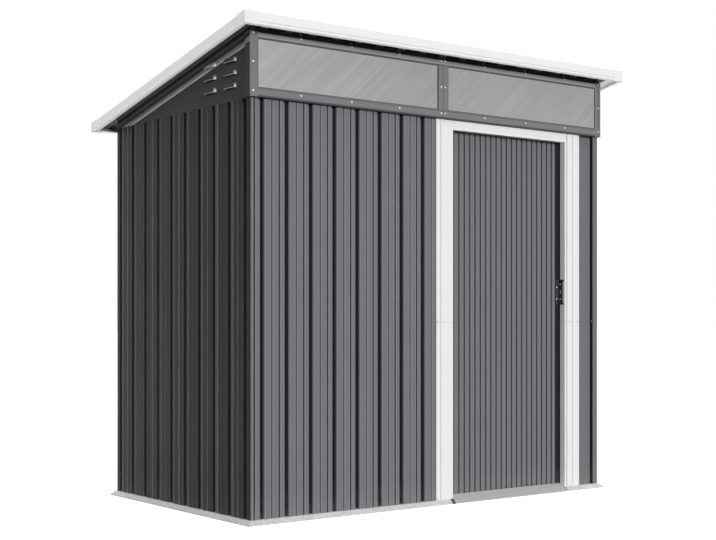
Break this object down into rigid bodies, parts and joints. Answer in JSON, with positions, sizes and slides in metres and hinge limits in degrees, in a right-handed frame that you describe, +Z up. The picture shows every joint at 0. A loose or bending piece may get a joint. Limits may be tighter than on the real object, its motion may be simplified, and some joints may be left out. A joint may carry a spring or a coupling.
{
  "type": "lean-to metal storage shed",
  "caption": "Lean-to shed of ribbed sheet steel with a sloping roof, a frosted window band under the eave, louvred gables and a sliding door in a white frame.",
  "frame": {"origin": "on the ground in the middle of the outline that the roof covers", "axes": "+X along the door wall to the right seen from outside, +Y from the door wall to the rear wall, +Z up"},
  "size_m": [1.923, 1.197, 1.8014],
  "materials": {
    "anthracite_paint": "satin",
    "white_paint": "satin",
    "zinc_steel": "satin",
    "sill_metal": "satin",
    "frosted_sheet": "frosted",
    "black_plastic": "matte",
    "nylon": "matte"
  },
  "bodies": {
    "shed": {"band_bottom_rail": "anthracite_paint", "band_left_post": "anthracite_paint", "band_mullion": "anthracite_paint", "band_right_post": "anthracite_paint", "band_top_rail": "anthracite_paint", "base_front_rail": "zinc_steel", "base_left_rail": "zinc_steel", "base_rear_rail": "zinc_steel", "base_right_rail": "zinc_steel", "corner_posts": "zinc_steel", "door_bottom_track": "zinc_steel", "door_header": "white_paint", "door_ramp": "sill_metal", "door_top_track": "zinc_steel", "front_roof_beam": "anthracite_paint", "front_wall": "anthracite_paint", "front_wall_narrow": "anthracite_paint", "jamb_left": "white_paint", "jamb_right": "white_paint", "left_gable": "anthracite_paint", "left_gable_rail": "anthracite_paint", "left_top_rail": "anthracite_paint", "left_wall": "anthracite_paint", "mid_rails": "zinc_steel", "middle_roof_beam": "anthracite_paint", "rear_top_rail": "anthracite_paint", "rear_wall": "anthracite_paint", "right_gable": "anthracite_paint", "right_gable_rail": "anthracite_paint", "right_top_rail": "anthracite_paint", "right_wall": "anthracite_paint", "roof_corner_caps": "white_paint", "roof_sheet_left": "anthracite_paint", "roof_sheet_middle": "anthracite_paint", "roof_sheet_right": "anthracite_paint", "roof_trim_front": "white_paint", "roof_trim_left": "white_paint", "roof_trim_rear": "white_paint", "roof_trim_right": "white_paint", "window_pane_left": "frosted_sheet", "window_pane_right": "frosted_sheet"},
    "door": {"door_glides": "nylon", "door_handle": "black_plastic", "door_leading_stile": "anthracite_paint", "door_leaf": "anthracite_paint", "door_rails": "anthracite_paint", "door_trailing_stile": "anthracite_paint"}
  },
  "joints": [
    {"name": "door_slide", "type": "slide", "parent": "shed", "child": "door", "axis": [-1, 0, 0], "range_m": [0, 0.585]}
  ]
}
